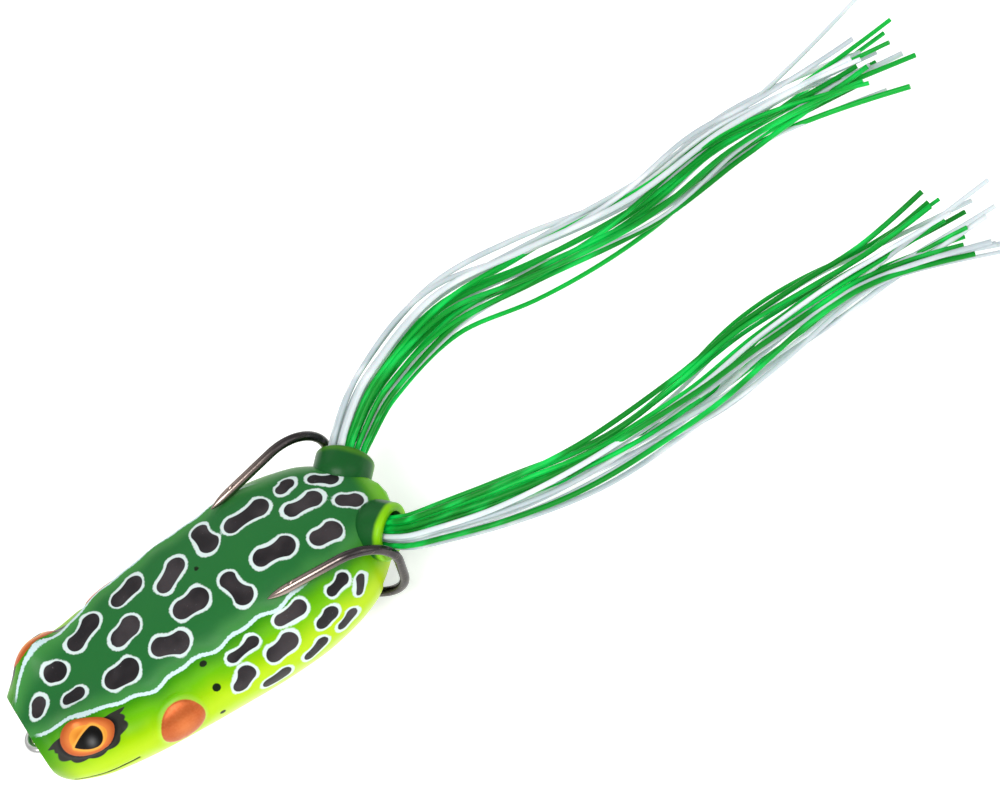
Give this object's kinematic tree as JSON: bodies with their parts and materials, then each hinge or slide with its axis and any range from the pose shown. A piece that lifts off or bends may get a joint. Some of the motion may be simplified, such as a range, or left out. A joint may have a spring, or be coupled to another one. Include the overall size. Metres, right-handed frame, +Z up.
{
  "type": "topwater frog popper lure",
  "caption": "Hollow soft frog popper with a cupped face, a double hook lying along the back, a keel weight and two silicone skirt legs.",
  "frame": {"origin": "centre of the line tie, the ring that stands out of the popping cup", "axes": "+X from the nose to the tail, -Y is the lure's left side, +Z up"},
  "size_m": [0.1655, 0.0462, 0.0251],
  "materials": {
    "painted_soft_body": "soft moulded PVC, painted green over a white belly with dark spots",
    "soft_seal": "black soft rubber",
    "hook_wire": "black nickel plated steel wire, semi-gloss",
    "weight_metal": "dull grey cast metal",
    "green_silicone": "translucent green silicone strand",
    "white_silicone": "cool white silicone strand"
  },
  "bodies": {
    "hook": {"double_hook": "hook_wire", "keel_weight": "weight_metal"},
    "shell": {"body_shell": "painted_soft_body", "nose_seal": "soft_seal", "left_skirt_band": "soft_seal", "right_skirt_band": "soft_seal", "left_green_roots": "green_silicone", "left_white_roots": "white_silicone", "right_green_roots": "green_silicone", "right_white_roots": "white_silicone"},
    "left_leg": {"left_green_inner": "green_silicone", "left_white_inner": "white_silicone"},
    "left_leg_end": {"left_green_outer": "green_silicone", "left_white_outer": "white_silicone"},
    "right_leg": {"right_green_inner": "green_silicone", "right_white_inner": "white_silicone"},
    "right_leg_end": {"right_green_outer": "green_silicone", "right_white_outer": "white_silicone"}
  },
  "joints": [
    {"name": "shell_press", "type": "hinge", "parent": "hook", "child": "shell", "pos_m": [0.0042, 0, 0], "axis": [0, 1, 0], "range_deg": [0, 3.2], "stiffness_Nm_per_rad": 0.05},
    {"name": "left_leg_swing", "type": "hinge", "parent": "shell", "child": "left_leg", "pos_m": [0.061, -0.008, 0.0066], "axis": [0, 0, -1], "range_deg": [-3, 12], "stiffness_Nm_per_rad": 0.002},
    {"name": "left_leg_flex", "type": "hinge", "parent": "left_leg", "child": "left_leg_end", "pos_m": [0.10645, -0.01553, 0.0105], "axis": [0, 1, 0], "range_deg": [-30, 30], "stiffness_Nm_per_rad": 0.001},
    {"name": "right_leg_swing", "type": "hinge", "parent": "shell", "child": "right_leg", "pos_m": [0.061, 0.008, 0.0066], "axis": [0, 0, 1], "range_deg": [-3, 12], "stiffness_Nm_per_rad": 0.002},
    {"name": "right_leg_flex", "type": "hinge", "parent": "right_leg", "child": "right_leg_end", "pos_m": [0.10645, 0.01553, 0.0105], "axis": [0, 1, 0], "range_deg": [-30, 30], "stiffness_Nm_per_rad": 0.001}
  ]
}
